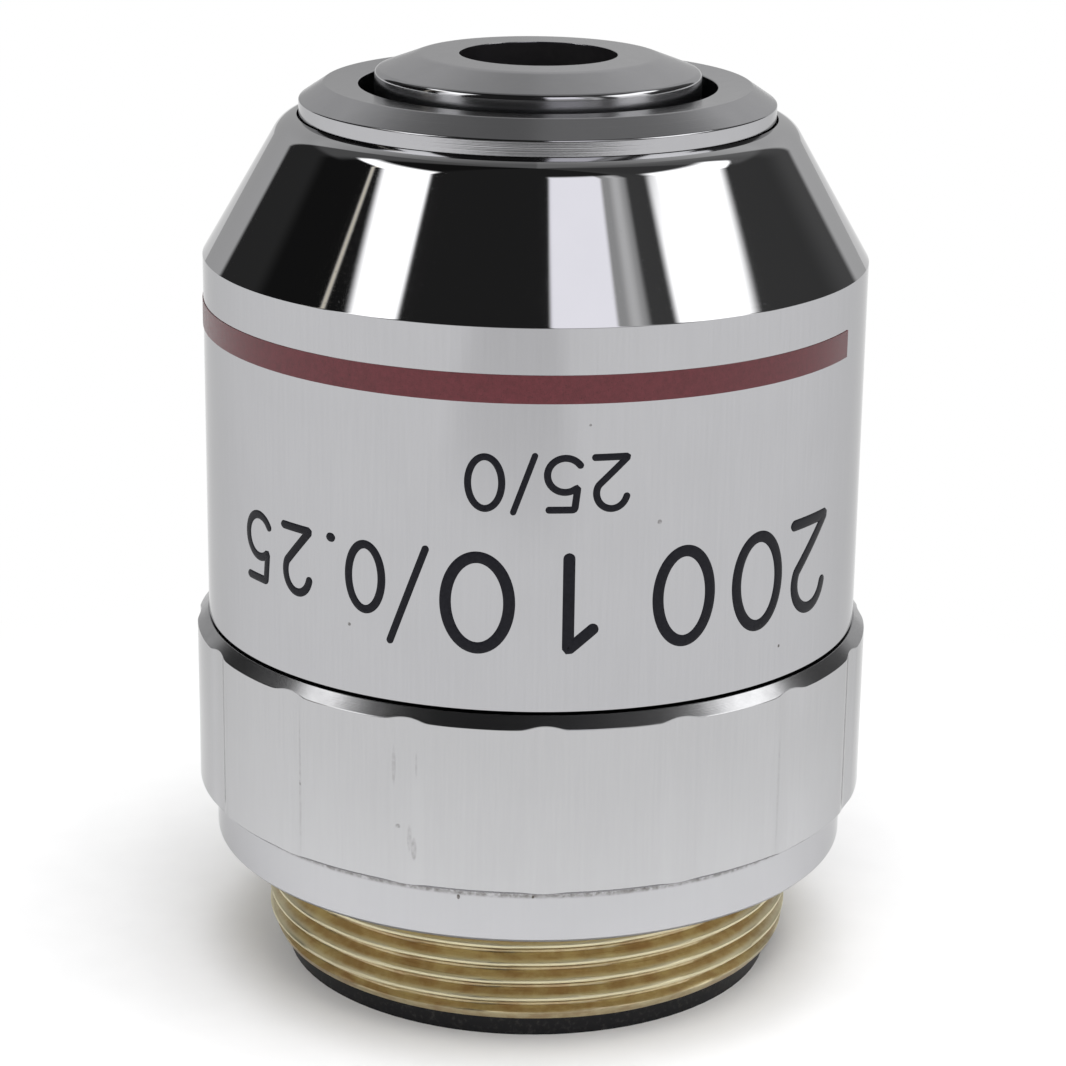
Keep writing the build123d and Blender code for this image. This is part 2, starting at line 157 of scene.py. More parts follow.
def eased(outline):
    """An outline of (radius, height, easing) with its corners rounded by their easings. A point close before
    and after each corner keeps the shading of the straights level."""
    steps, close, room_needed = 6, 0.02, 0.06
    points = []
    count = len(outline)
    for i, (radius, height, easing) in enumerate(outline):
        here = Vector((radius, height))
        if not easing:
            points.append((radius, height))
            continue
        back = Vector(outline[i - 1][:2]) - here
        ahead = Vector(outline[(i + 1) % count][:2]) - here
        half = back.angle(ahead) / 2
        reach = min(easing / tan(half), 0.49 * back.length, 0.49 * ahead.length)
        start = here + back.normalized() * reach
        end = here + ahead.normalized() * reach
        shares = [k / steps for k in range(steps + 1)]
        curve = [start * (1 - t) ** 2 + here * (2 * t * (1 - t)) + end * t**2 for t in shares]
        if back.length > 2 * reach + room_needed:
            curve.insert(0, start + back.normalized() * close)
        if ahead.length > 2 * reach + room_needed:
            curve.append(end + ahead.normalized() * close)
        points += [(p.x, p.y) for p in curve]
    return points


def turned(name, outline, finishes, angles=None, shape=None, sharp=28):
    """A closed outline of (radius, height) points turned round the axis, at every degree if no angles are
    given. Each finish is (material, test of radius and height), and the last that holds for a face's middle
    counts. shape moves a point at an angle, and edges sharper than sharp degrees stay sharp."""
    angles = angles or [2 * pi * k / 360 for k in range(360)]
    verts = []
    for a in angles:
        for radius, height in outline:
            r, h = shape(radius, height, a) if shape else (radius, height)
            verts.append((r * cos(a) / 1000, r * sin(a) / 1000, h / 1000))
    rows, turns = len(outline), len(angles)
    faces = []
    for j in range(turns):
        here, there = j * rows, (j + 1) % turns * rows
        for i in range(rows):
            k = (i + 1) % rows
            faces.append((here + i, there + i, there + k, here + k))
    mesh = bpy.data.meshes.new(name)
    mesh.from_pydata(verts, [], faces)
    for material, _ in finishes:
        mesh.materials.append(material)
    for face in mesh.polygons:
        centre = face.center * 1000
        r, h = hypot(centre.x, centre.y), centre.z
        face.use_smooth = True
        for index, (_, holds) in enumerate(finishes):
            if holds is None or holds(r, h):
                face.material_index = index
    area = sum(r0 * h1 - r1 * h0 for (r0, h0), (r1, h1) in zip(outline, outline[1:] + outline[:1]))
    if area > 0:
        mesh.flip_normals()
    mesh.set_sharp_from_angle(angle=radians(sharp))
    piece = bpy.data.objects.new(name, mesh)
    bpy.context.scene.collection.objects.link(piece)
    return piece


def satin_chrome(name, streak, roughness, tint, marks=(), painted_shade=None):
    """Chrome over a finely brushed face: faint streaks along the axis, darker marks that are given as
    (radius, turn, height, width, length, strength), and painted shade that depends on the height, darkened
    in the same colour as the marks."""
    finish = Finish(name)
    place = x, y, z = finish.place()
    streaks = finish.noise(x * 9, y * 9, z * 0.35, 3.0)
    grain = finish.noise(x * 40, y * 40, z * 5, 2.0)
    clouds = finish.noise(x * 0.35, y * 0.35, z * 0.35, 2.0)
    tone = (streaks - 0.5) * streak + (grain - 0.5) * streak * 0.6 + (clouds - 0.5) * streak
    darker = (tint[0] * 0.93, tint[1] * 0.93, tint[2] * 0.93, 1)
    colour = finish.mix(finish.step(tone, -0.5, 0.5), darker, tint)
    # Painted shade: a band given by height is darkened in the marks' colour, standing in for the shade under
    # an overhanging edge.
    dirt_and_shade = painted_shade(finish, z) if painted_shade else 0.0
    for *where, strength in marks:
        dirt_and_shade = finish.mark(place, *where) * strength + dirt_and_shade
    if marks or painted_shade:
        dirt_and_shade = dirt_and_shade * (0.1 + finish.step(finish.noise(x * 4, y * 4, z * 4, 4.0, 0.7), 0.25, 0.70) * 1.6)
        colour = finish.mix(dirt_and_shade, colour, (0.115, 0.105, 0.095, 1))
    return finish.surface(
        {
            "Base Color": colour,
            "Metallic": 1.0,
            "Roughness": roughness + (grain - 0.5) * 0.05 + dirt_and_shade * 0.2,
            "Specular Tint": edge_tint,
            "Normal": finish.bump(streaks + grain * 0.5, 0.06, 0.003),
        }
    )


def bare_brass():
    """Turned brass, tarnished to an olive brown on the flanks and pale on the crests, partly rubbed bright
    and partly a painted highlight.
    """
    finish = Finish("bare_brass")
    x, y, z = finish.place()
    radius = finish.maths("SQRT", x * x + y * y)
    turning = finish.noise(x * 0.3, y * 0.3, z * 26, 3.0)
    patina = finish.noise(x * 1.1, y * 1.1, z * 2.2, 4.0, 0.65)
    # The crests are painted pale: partly wear, partly a painted highlight along each crest.
    rubbed_and_highlit = finish.step(radius + (patina - 0.5) * 0.14, 9.93, 10.12)
    tarnish = finish.mix(finish.step(patina, 0.35, 0.65), (0.44, 0.33, 0.19, 1), (0.56, 0.48, 0.29, 1))
    colour = finish.mix(rubbed_and_highlit, tarnish, (0.68, 0.62, 0.42, 1))
    return finish.surface(
        {
            "Base Color": finish.mix(finish.step(turning, 0.56, 0.74) * 0.35, colour, (0.22, 0.14, 0.06, 1)),
            "Metallic": 1.0,
            "Roughness": 0.34 + rubbed_and_highlit * 0.08 + (turning - 0.5) * 0.12,
            "Normal": finish.bump(turning, 0.35, 0.012),
        }
    )


def thread_radius_at(height, angle):
    """The crest, flanks and root of a right-hand thread of 55 degrees, with rounded crests and roots."""
    turn = ((height - thread_start) / thread_pitch - angle / (2 * pi)) % 1
    down = thread_slope_height * (1 - abs(2 * turn - 1)) - thread_slope_height / 6
    down = (down + sqrt(down**2 + thread_ease**2)) / 2
    under = thread_depth - down
    under = (under + sqrt(under**2 + thread_ease**2)) / 2
    return thread_crest - (thread_depth - under)


def cut_thread(radius, height, angle):
    """Moves a point of the crest's cylinder to the thread, under a lead chamfer at its rear end."""
    if radius != thread_crest:
        return radius, height
    lead = thread_crest - lead_drop + lead_slope * (height - thread_from)
    return min(thread_radius_at(height, angle), lead), height


thread_rows = round((thread_to - thread_from) / thread_pitch * rows_per_turn)
thread_outline = [
    (thread_crest, thread_from + (thread_to - thread_from) * k / thread_rows) for k in range(thread_rows + 1)
]
mount_outline = (
    [(8.20, 0.88)]
    + thread_outline
    + eased(
        [
            (9.66, thread_to, 0),
            (9.66, shoulder, 0),
            (12.0, shoulder, 0.03),
            (collar_radius, shoulder + 0.15, 0.05),
            (collar_radius, collar_top, 0.05),
            (11.60, collar_top, 0),
            (11.60, 13.74, 0.05),
            (11.10, 13.74, 0),
            (11.10, 19.0, 0.05),
            (10.25, 19.0, 0),
            (10.25, 6.20, 0),
            (8.20, 6.20, 0.05),
        ]
    )
)
chrome_grey = (0.515, 0.515, 0.530, 1)
edge_tint = (0.72, 0.72, 0.72, 1)
# The collar's finish paints shade in a band just under the grip ring's lower edge, where the ring overhangs
# it, with two darker spots in that band.
collar_chrome = satin_chrome(
    "collar_chrome",
    0.5,
    0.12,
    (0.520, 0.520, 0.535, 1),
    marks=[(collar_radius, -11.6, 6.63, 0.12, 0.18, 0.8), (collar_radius, 1.0, 6.76, 0.10, 0.10, 0.7)],
    # painted shade under the grip ring's edge
    painted_shade=lambda finish, z: 0.48 * finish.step(z, 6.66, 6.80),
)
mount_piece = turned(
    "mount_turning",
    mount_outline,
    [
        (bare_brass(), None),
        (collar_chrome, lambda r, h: r > 10.4 and h > 4.9),
    ],
    shape=cut_thread,
)
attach(mount_piece, "root")
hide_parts("mount_body")

# Rear light stop. A black anodised ring screwed in behind the thread, turned, with two slots for a spanner.
# It is what the objective stands on.


def anodised_black():
    """Black anodised aluminium: nearly black, with the marks of turning under the layer."""
    finish = Finish("anodised_black")
    x, y, z = finish.place()
    radius = finish.maths("SQRT", x * x + y * y)
    rings = finish.noise(radius * 18, z * 18, 0.0, 2.0)
    dust = finish.step(finish.noise(x * 6, y * 6, z * 6, 3.0), 0.50, 0.75)
    return finish.surface(
        {
            "Base Color": finish.mix(dust, (0.004, 0.004, 0.005, 1), (0.022, 0.021, 0.020, 1)),
            "Roughness": 0.36 + (rings - 0.5) * 0.12,
            "Specular IOR Level": 0.25,
            "Normal": finish.bump(rings, 0.15, 0.006),
        }
    )


def dress(names, material):
    """Gives CAD nodes a finish."""
    for name in names:
        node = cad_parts[name]
        node.data.materials.clear()
        node.data.materials.append(material)


black_aluminium = anodised_black()
dress(["rear_stop", "aperture_stop"], black_aluminium)

# Grip ring. A chromed ring on the collar, with a turned 45 degree chamfer round its front edge and sixteen
# shallow flutes, milled along it with a round cutter.
grip_radius, flute_count, flute_depth, flute_cutter = 12.81, 16, 0.115, 2.35
flute_centre = grip_radius + flute_cutter - flute_depth
flute_edge = 0.07
first_flute = radians(2.6 - 90)
flute_pitch = 2 * pi / flute_count
fine_turn, fine_steps, wide_steps = 0.32, 13, 9


def flute_angles():
    """Close together across each flute and its edges, and wider between flutes."""
    angles = []
    for k in range(flute_count):
        middle = 360 / flute_count * k
        angles += [middle + fine_turn * t for t in range(-fine_steps, fine_steps + 1)]
        gap = 360 / flute_count - 2 * fine_turn * fine_steps
        angles += [middle + fine_turn * fine_steps + gap * t / wide_steps for t in range(1, wide_steps)]
    return [first_flute + radians(a) for a in angles]


def cut_flutes(radius, height, angle):
    """Moves a point of the ring's outside in to the flute's floor, and the chamfers' edges along with it."""
    if radius < 12.3:
        return radius, height
    off = (angle - first_flute + flute_pitch / 2) % flute_pitch - flute_pitch / 2
    across = flute_centre * sin(off)
    if abs(across) >= flute_cutter * 0.9:
        return radius, height
    floor_radius = flute_centre * cos(off) - sqrt(flute_cutter**2 - across**2)
    depth = radius - floor_radius
    depth = (depth + sqrt(depth**2 + flute_edge**2)) / 2
    if depth < 0.002:
        return radius, height
    if height > 13.0:
        return radius - depth, height + depth
    if height < 7.3:
        return radius - depth, height - min(depth, 0.12)
    return radius - depth, height


grip_outline = eased(
    [
        (11.65, 7.12, 0),
        (grip_radius - 0.12, 7.12, 0),
        (grip_radius, 7.24, 0.015),
        (grip_radius, 13.33, 0.05),
        (grip_radius - 0.41, 13.74, 0.03),
        (11.65, 13.74, 0),
    ]
)


def turned_chrome(name, roughness, tint, uneven=0.94):
    """Bright chrome over a turned face: fine rings that smear a reflection across them."""
    finish = Finish(name)
    x, y, z = finish.place()
    radius = finish.maths("SQRT", x * x + y * y)
    rings = finish.noise(radius * 30, z * 30, 0.0, 3.0)
    clouds = finish.noise(x * 1.6, y * 1.6, z * 1.6, 4.0, 0.65)
    return finish.surface(
        {
            "Base Color": finish.mix(clouds, tint, (tint[0] * uneven, tint[1] * uneven, tint[2] * uneven, 1)),
            "Metallic": 1.0,
            "Roughness": roughness + (clouds - 0.5) * 0.06,
            "Specular Tint": edge_tint,
            "Normal": finish.bump(rings, 0.30, 0.004),
        }
    )


# The chrome is darker in and along the flute left of the front, along one flute edge further round on each
# side, and in two small spots.
ring_marks = [
    (12.75, -21.9, 11.6, 0.16, 1.5, 0.13),
    (12.75, -18.1, 11.7, 0.12, 1.1, 0.09),
    (12.75, -21.2, 9.3, 0.20, 0.20, 0.38),
    (12.74, -19.3, 8.9, 0.22, 1.1, 0.14),
    (12.74, -18.5, 8.5, 0.24, 0.9, 0.20),
    (12.80, -40.2, 9.9, 0.20, 7.0, 0.12),
    (12.80, -40.2, 10.0, 0.16, 0.20, 0.30),
    (12.80, 45.2, 9.6, 0.20, 6.0, 0.10),
]
chamfer_chrome = turned_chrome("chamfer_chrome", 0.20, (0.52, 0.52, 0.53, 1), 0.72)
grip_piece = turned(
    "grip_turning",
    grip_outline,
    [
        (satin_chrome("grip_chrome", 0.6, 0.12, (0.535, 0.535, 0.545, 1), ring_marks), None),
        (chamfer_chrome, lambda r, h: h > 13.34),
    ],
    angles=flute_angles(),
    shape=cut_flutes,
    sharp=12,
)
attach(grip_piece, "root")
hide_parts("grip_ring")

# Outer sleeve. One chromed turning, screwed on the mount body's spigot: a satin straight part that carries
# the marking, and a cone polished to a mirror, rounded into the mouth that the nose cap stands in.
sleeve_radius, cone_from, mouth, mouth_radius = 12.36, 27.57, 32.69, 8.85
cone_slope = radians(59.7)
cone_end = sleeve_radius - (mouth - cone_from) / tan(cone_slope)
mouth_rounding = 1.14


def rounded_mouth():
    """The arc from the cone into the mouth's rim."""
    tangent = mouth_rounding * tan(cone_slope / 2)
    centre = (cone_end - tangent, mouth - mouth_rounding)
    turns = [cone_slope * (1 - k / 16) for k in range(17)]
    arc = [(centre[0] + mouth_rounding * sin(t), centre[1] + mouth_rounding * cos(t)) for t in turns]
    arc = [p for p in arc if p[0] > mouth_radius + 0.02]
    drop = sqrt(mouth_rounding**2 - (mouth_radius - centre[0]) ** 2)
    before = (arc[0][0] + 0.02 * cos(cone_slope), arc[0][1] - 0.02 * sin(cone_slope))
    return [before] + arc + [(mouth_radius, centre[1] + drop)]


sleeve_outline = eased(
    [(11.15, 13.84, 0), (sleeve_radius, 13.84, 0.05), (sleeve_radius, cone_from, 0.05)]
    + [(radius, height, 0) for radius, height in rounded_mouth()]
    + [
        (mouth_radius, 31.93, 0),
        (8.45, 31.93, 0),
        (8.45, 30.33, 0),
        (7.90, 30.33, 0),
        (10.85, 26.22, 0),
        (10.85, 19.0, 0),
        (11.15, 19.0, 0),
    ]
)


def mirror_chrome(name, roughness, tint, scratch):
    """Polished chrome that still shows the fine rings of turning, and a few hair scratches."""
    finish = Finish(name)
    x, y, z = finish.place()
    radius = finish.maths("SQRT", x * x + y * y)
    rings = finish.noise(radius * 22, z * 22, 0.0, 2.0)
    clouds = finish.noise(x * 0.6, y * 0.6, z * 0.6, 3.0)
    hairs = finish.noise(x * 14 + y * 3, y * 14, z * 1.2, 4.0, 0.65)
    return finish.surface(
        {
            "Base Color": finish.mix(clouds, tint, (tint[0] * 0.96, tint[1] * 0.96, tint[2] * 0.96, 1)),
            "Metallic": 1.0,
            "Roughness": roughness + finish.step(hairs, 0.62, 0.72) * 0.08 + (rings - 0.5) * scratch * 0.5,
            "Specular Tint": edge_tint,
            "Normal": finish.bump(rings, scratch, 0.002),
        }
    )


sleeve_marks = [
    (sleeve_radius, 20.8, 20.6, 0.16, 0.18, 0.8),
    (sleeve_radius, -31.0, 16.4, 0.13, 0.13, 0.7),
    (sleeve_radius, 46.0, 15.1, 0.12, 0.12, 0.7),
    (sleeve_radius, 9.0, 24.2, 0.10, 0.10, 0.6),
]
sleeve_satin = satin_chrome("sleeve_chrome", 0.6, 0.10, chrome_grey, sleeve_marks)
cone_chrome = mirror_chrome("cone_chrome", 0.04, (0.56, 0.56, 0.57, 1), 0.05)
sleeve_piece = turned(
    "sleeve_turning",
    sleeve_outline,
    [
        (sleeve_satin, None),
        (cone_chrome, lambda r, h: h > cone_from),
    ],
    sharp=20,
)
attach(sleeve_piece, "root")
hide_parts("outer_sleeve")

# Colour band. Dark red ink, printed round the sleeve in one pass that ends on the right, where a part of the
# turn stays bare. The CAD node has the film's shape already.


def band_ink():
    """Screen ink: dark red, thin in places, with tiny pinholes."""
    finish = Finish("band_ink")
    x, y, z = finish.place()
    mottle = finish.noise(x * 5, y * 5, z * 5, 4.0, 0.6)
    grain = finish.noise(x * 22, y * 22, z * 22, 2.0)
    colour = finish.mix(mottle, (0.058, 0.010, 0.012, 1), (0.130, 0.024, 0.032, 1))
    colour = finish.mix(finish.step(grain, 0.58, 0.74) * 0.6, colour, (0.025, 0.008, 0.008, 1))
    return finish.surface(
        {
            "Base Color": colour,
            "Roughness": 0.34 + (mottle - 0.5) * 0.2,
            "Specular IOR Level": 0.42,
            "Normal": finish.bump(grain, 0.3, 0.01),
        }
    )


dress(["colour_band"], band_ink())

# Marking. Plain numerals in black ink, printed on the sleeve the other way up, so that they read when the
# objective hangs in the microscope: a number, a fraction, and a smaller line nearer the nose.
ink_rise = 0.018


def bow(cx, cy, rx, ry, start, end, count=18):
    """Points of an elliptical arc, in degrees."""
    turns = [radians(start + (end - start) * k / count) for k in range(count + 1)]
    return [(cx + rx * cos(t), cy + ry * sin(t)) for t in turns]


# Each numeral is drawn as pen strokes in a box one high and about 0.62 wide.
numeral_strokes = {
    "0": [bow(0.31, 0.5, 0.31, 0.5, 90, 450, 48)],
    "1": [[(0.06, 0.78), (0.32, 1.0), (0.32, 0.0)]],
    "2": [bow(0.31, 0.69, 0.30, 0.31, 165, -28) + [(0.0, 0.0), (0.64, 0.0)]],
    "5": [[(0.58, 1.0), (0.11, 1.0), (0.06, 0.56)] + bow(0.29, 0.33, 0.33, 0.33, 128, -145, 24)],
    "/": [[(0.0, -0.04), (0.40, 1.04)]],
    ".": [[(0.0, 0.0), (0.03, 0.0)]],
}


def softened(points, gap=0.05):
    """A stroke's points with short steps, so that the pen turns its corners on a small curve."""
    dense = [Vector(points[0])]
    for a, b in zip(points, points[1:]):
        a, b = Vector(a), Vector(b)
        pieces = max(1, round((b - a).length / gap))
        dense += [a.lerp(b, k / pieces) for k in range(1, pieces + 1)]
    closed = (dense[0] - dense[-1]).length < 1e-6
    for _ in range(2):
        ends = (dense[0], dense[-1])
        dense = [(p + q * 2 + r) / 4 for p, q, r in zip([dense[0]] + dense, dense, dense[1:] + [dense[-1]])]
        if not closed:
            dense[0], dense[-1] = ends
    return dense


def inked(strokes, name):
    """Lays pen strokes of (points, width) on the sleeve as thin, rounded ridges of ink. A point is (distance
    round the sleeve to the right, height)."""
    verts, faces = [], []
    profile = [(-1.0, 0.0), (-0.85, 0.75), (-0.4, 1.0), (0.4, 1.0), (0.85, 0.75), (1.0, 0.0)]
    for points, width in strokes:
        path = softened(points)
        run = [0.0]
        for a, b in zip(path, path[1:]):
            run.append(run[-1] + (b - a).length)
        along = []
        first = (path[1] - path[0]).normalized()
        last = (path[-1] - path[-2]).normalized()
        for t in (1.0, 0.92, 0.7, 0.38):
            along.append((path[0] - first * t * width / 2, first, sqrt(max(0.0, 1 - t * t)) + 0.02))
        for i, p in enumerate(path):
            ahead = path[min(i + 1, len(path) - 1)] - path[max(i - 1, 0)]
            along.append((p, ahead.normalized(), 1.0))
        for t in (0.38, 0.7, 0.92, 1.0):
            along.append((path[-1] + last * t * width / 2, last, sqrt(max(0.0, 1 - t * t)) + 0.02))
        base = len(verts)
        for p, direction, share in along:
            side = Vector((direction.y, -direction.x)) * share * width / 2
            for across, rise in profile:
                spot = p + side * across
                radius = sleeve_radius + 0.002 + ink_rise * rise
                a = spot.x / sleeve_radius - pi / 2
                verts.append((radius * cos(a) / 1000, radius * sin(a) / 1000, spot.y / 1000))
        wide = len(profile)
        for i in range(len(along) - 1):
            for j in range(wide - 1):
                k = base + i * wide + j
                faces.append((k, k + 1, k + wide + 1, k + wide))
    mesh = bpy.data.meshes.new(name)
    mesh.from_pydata(verts, [], faces)
    for face in mesh.polygons:
        face.use_smooth = True
    piece = bpy.data.objects.new(name, mesh)
    bpy.context.scene.collection.objects.link(piece)
    return piece


def marked(signs, baseline):
    """Pen strokes of signs given as (sign, right edge, width, height, pen), upside down on their baseline."""
    strokes = []
    for sign, right, width, height, pen in signs:
        lines = numeral_strokes[sign]
        broad = max(x for line in lines for x, _ in line) or 1.0
        for line in lines:
            strokes.append(([(right - x / broad * width, baseline - y * height) for x, y in line], pen))
    return strokes


large_line = marked(
    [
        ("2", 12.65, 2.05, 3.30, 0.42),
        ("0", 9.75, 2.05, 3.30, 0.42),
        ("0", 6.55, 2.05, 3.30, 0.42),
        ("1", 2.35, 1.05, 3.30, 0.42),
        ("0", -0.75, 2.25, 3.30, 0.42),
        ("/", -3.72, 1.32, 3.22, 0.27),
        ("0", -5.37, 1.34, 2.38, 0.31),
        (".", -7.45, 0.05, 2.38, 0.33),
        ("2", -8.45, 1.30, 2.38, 0.31),
        ("5", -10.60, 1.36, 2.38, 0.31),
    ],
    19.45,
)
small_line = marked(
    [
        ("2", 3.30, 1.16, 1.84, 0.25),
        ("5", 1.66, 1.16, 1.84, 0.25),
        ("/", 0.07, 0.72, 1.86, 0.22),
        ("0", -1.05, 1.18, 1.84, 0.25),
    ],
    23.05,
)


def numeral_ink():
    """Black screen ink, a little glossy and uneven."""
    finish = Finish("numeral_ink")
    x, y, z = finish.place()
    mottle = finish.noise(x * 8, y * 8, z * 8, 3.0)
    return finish.surface(
        {
            "Base Color": finish.mix(mottle, (0.003, 0.003, 0.005, 1), (0.012, 0.012, 0.016, 1)),
            "Roughness": 0.40 + (mottle - 0.5) * 0.2,
            "Specular IOR Level": 0.14,
        }
    )


numerals = inked(large_line + small_line, "numerals")
numerals.data.materials.append(numeral_ink())
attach(numerals, "root")

# Nose cap. A chromed turning screwed into the sleeve's mouth: its rim overhangs the neck, and a slope rises
# to a flat top face round the deep groove beside the boss.
cap_outline = eased(
    [
        (7.30, 30.43, 0),
        (8.40, 30.43, 0.05),
        (8.40, 31.93, 0),
        (8.64, 31.93, 0),
        (8.64, 32.61, 0),
        (8.78, 32.61, 0.03),
        (8.78, 33.245, 0.07),
        (7.86, 33.86, 0.10),
        (6.59, 33.80, 0.05),
        (6.59, 32.26, 0),
        (7.30, 32.26, 0),
    ]
)
cap_chrome = turned_chrome("cap_chrome", 0.19, (0.53, 0.53, 0.545, 1))
rim_chrome = turned_chrome("rim_chrome", 0.10, (0.49, 0.49, 0.505, 1))


def black_oxide():
    """Brass blackened against stray light."""
    finish = Finish("black_oxide")
    x, y, z = finish.place()
    mottle = finish.noise(x * 4, y * 4, z * 4, 3.0)
    return finish.surface(
        {
            "Base Color": finish.mix(mottle, (0.008, 0.008, 0.008, 1), (0.020, 0.019, 0.018, 1)),
            "Roughness": 0.55 + (mottle - 0.5) * 0.2,
        }
    )


blackened = black_oxide()
cap_piece = turned(
    "cap_turning",
    cap_outline,
    [
        (cap_chrome, None),
        (rim_chrome, lambda r, h: r > 8.66 and h < 33.32),
        (blackened, lambda r, h: r < 8.0 and h < 32.3),
    ],
    sharp=20,
)
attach(cap_piece, "root")
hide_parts("nose_cap")

# Front cell. The chromed boss in the middle of the nose, screwed into the barrel's neck, with the front
# aperture in its face. Its bore and the flange below are blackened.
cell_outline = eased(
    [
        (4.25, 27.60, 0),
        (6.15, 27.60, 0.05),
        (6.15, 30.60, 0),
        (7.10, 30.60, 0),
        (7.10, 31.50, 0.05),
        (6.00, 31.50, 0),
        (6.00, 34.30, 0.22),
        (4.40, 34.90, 0.9),
        (2.89, 34.90, 0.03),
        (3.30, 33.78, 0),
        (4.25, 33.78, 0),
    ]
)
boss_chrome = turned_chrome("boss_chrome", 0.20, (0.55, 0.55, 0.565, 1))
cell_piece = turned(
    "cell_turning",
    cell_outline,
    [
        (boss_chrome, None),
        (rim_chrome, lambda r, h: r > 5.75 and 34.05 < h < 34.42),
        (blackened, lambda r, h: (h < 33.0 and not 5.9 < r < 6.1) or h < 31.55 or (r < 3.4 and h < 34.86)),
    ],
    sharp=20,
)
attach(cell_piece, "root")
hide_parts("front_cell")

# Inner barrel and what it holds: blackened brass tube, cells, spacers and slotted rings. The shim and the
# lock ring that seat and clamp the barrel stay bare brass.
dress(
    [
        "front_retainer",
        "inner_barrel",
        "middle_cell",
        "middle_retainer",
        "front_spacer",
        "rear_cell",
        "rear_cell_retainer",
        "rear_spacer",
        "collector_cell",
        "collector_retainer",
        "barrel_retainer",
    ],
    blackened,
)
dress(["parfocal_shim", "lock_ring"], mount_piece.data.materials[0])

# Lenses. Ground and polished glass with a thin coating that turns its reflection magenta and green; from
# outside each looks nearly black, because everything behind it is.


def coated_glass():
    finish = Finish("coated_glass")
    x, y, z = finish.place()
    haze = finish.noise(x * 1.5, y * 1.5, z * 1.5, 2.0)
    rim = finish.node("ShaderNodeLayerWeight", inputs={"Blend": 0.35}, output=1)
    colour = finish.mix(rim, (0.020, 0.008, 0.028, 1), (0.010, 0.030, 0.022, 1))
    return finish.surface(
        {
            "Base Color": colour,
            "Roughness": 0.02 + haze * 0.02,
            "Coat Weight": 0.6,
            "Coat Roughness": 0.02,
            "Coat Tint": (0.75, 0.55, 0.85, 1),
            "IOR": 1.52,
        }
    )


dress(
    ["front_lens", "middle_crown", "middle_flint", "rear_crown", "rear_flint", "collector_lens"],
    coated_glass(),
)

# Floor. A sheet of white card that ends a little behind the camera. Seen directly, or in the chrome, it is
# white away from the object, and round the object's foot it keeps the soft shadow. In front of the object,
# out of the camera's view, its
# glow is dimmed a little: painted shade that the chrome mirrors.
card_verts = [(-1.6, -0.17, 0), (1.6, -0.17, 0), (1.6, 2.4, 0), (-1.6, 2.4, 0)]
card_mesh = bpy.data.meshes.new("card")
card_mesh.from_pydata(card_verts, [], [(0, 1, 2, 3)])
card = bpy.data.objects.new("card", card_mesh)
bpy.context.scene.collection.objects.link(card)

paper = Finish("paper")
x, y, _ = paper.place()
away = paper.maths("SQRT", x * x + y * y)
tooth = paper.noise(x * 0.5, y * 0.5, 0.0, 3.0)
rays = paper.node("ShaderNodeLightPath").socket.node.outputs
seen = paper.maths("MAXIMUM", Tone(paper, rays["Is Camera Ray"]), Tone(paper, rays["Is Glossy Ray"]))
seen = paper.maths("MAXIMUM", seen, Tone(paper, rays["Is Transmission Ray"]))
lit = paper.node(
    "ShaderNodeBsdfDiffuse", inputs={0: paper.mix(tooth, (0.86, 0.86, 0.86, 1), (0.90, 0.90, 0.90, 1))}
)
# Painted shade: the card glows 15 per cent less in front of the object, toward the camera, where only the
# chrome sees it.
shade_toward_camera = paper.step(-1.0 * y, 70.0, 100.0) * (1 - paper.step(paper.maths("ABSOLUTE", x + 12.0), 22.0, 40.0))
white = paper.node("ShaderNodeEmission", inputs={0: (1, 1, 1, 1), 1: 1.0 - 0.15 * shade_toward_camera})
blend = paper.node("ShaderNodeMixShader", inputs={0: seen * paper.step(away, 14.0, 45.0), 1: lit, 2: white})
paper.node("ShaderNodeOutputMaterial", inputs={0: blend})
card_mesh.materials.append(paper.material)

# Room. Dark round the camera, with a pale wall behind the object and upright white panels at the sides: the
# polished cone mirrors them as bands. The camera itself sees white behind everything.
room = bpy.data.worlds.new("room")
room.use_nodes = True
bpy.context.scene.world = room
air = Finish("room", room.node_tree)
ray = air.node("ShaderNodeTexCoord", output=0)
ray = air.node("ShaderNodeSeparateXYZ", inputs={0: ray})
ray_x, ray_y, ray_z = (Tone(air, ray.socket.node.outputs[i]) for i in range(3))
bearing = air.maths("ARCTAN2", ray_x, -1.0 * ray_y) * (180 / pi)
rise = air.maths("ARCSINE", ray_z) * (180 / pi)


def panel(left, right, soft, low, top):
    """A panel between two bearings from the camera's side and above a height, which may slope, in degrees."""
    across = air.step(bearing, left - soft, left + soft) * (1 - air.step(bearing, right - soft, right + soft))
    return across * air.step(rise - low, -1.0, 1.5) * (1 - air.step(rise, top - 3, top + 3))


turn = air.maths("ABSOLUTE", bearing)
behind = air.maths("MAXIMUM", air.step(-1.0 * bearing, 134.0, 137.0), air.step(bearing, 137.5, 142.0))
wall = behind * (0.03 + 0.53 * (1 - air.step(rise, 14.0, 78.0)))
shade = (
    0.010
    + 0.022 * air.step(-1.0 * bearing, 108.0, 116.0)
    + 0.010 * (1 - air.step(turn, 50.0, 60.0))
    + 0.045 * air.step(bearing, 44.0, 48.0)
    + 0.05 * air.step(bearing, 118.0, 136.0)
    + 0.08 * air.step(turn, 100.0, 112.0) * air.step(rise, 28.0, 34.0)
    + 0.15 * (1 - air.step(rise, -4.0, 0.0))
)
fade = 0.5 + 0.5 * air.step(rise, 10.0, 32.0)
left_low = 36.0 + 0.2 * (turn - 75.0)
right_low = 31.0 + 0.5 * air.maths("MAXIMUM", turn - 98.0, 0.0)
left_lamp = air.maths("MAXIMUM", fade * panel(-73, -55, 1.5, 0, 50), panel(-108, -57, 4, left_low, 50))
